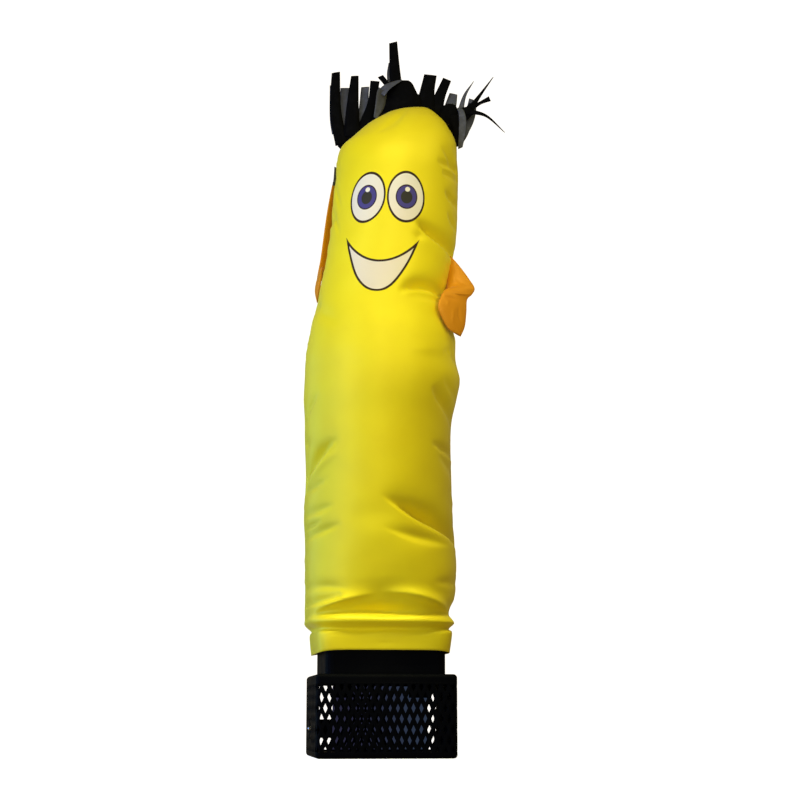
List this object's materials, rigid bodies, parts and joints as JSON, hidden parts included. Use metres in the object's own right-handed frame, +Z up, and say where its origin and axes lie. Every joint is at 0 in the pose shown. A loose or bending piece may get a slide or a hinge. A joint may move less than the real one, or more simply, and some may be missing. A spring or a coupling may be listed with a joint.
{
  "type": "inflatable air dancer on a fan base",
  "caption": "Desk-size inflatable air dancer: a satin tube with short sleeves, cut hair and a smiling face, blown up by a small fan base with pierced walls.",
  "frame": {"origin": "centre of the base's underside", "axes": "+Z up along the tube, -Y the side the face looks to, +X the face's left and the picture's right"},
  "size_m": [0.1361, 0.1029, 0.4982],
  "materials": {
    "yellow_satin": "satin",
    "orange_satin": "satin",
    "black_ribbon": "matt",
    "grey_ribbon": "matt",
    "black_moulding": "satin"
  },
  "bodies": {
    "root": {"body_front": "yellow_satin", "body_back": "yellow_satin", "arm_right": "orange_satin", "arm_left": "orange_satin", "hand_right": "black_ribbon", "hand_left": "black_ribbon", "hair_front": "black_ribbon", "hair_back": "grey_ribbon", "blower_collar": "black_moulding", "base_lid": "black_moulding", "base_floor": "black_moulding", "base_post_front_left": "black_moulding", "base_post_front_right": "black_moulding", "base_post_back_left": "black_moulding", "base_post_back_right": "black_moulding", "grille_front": "black_moulding", "grille_back": "black_moulding", "grille_left": "black_moulding", "grille_right": "black_moulding", "power_socket": "black_moulding"}
  },
  "joints": []
}
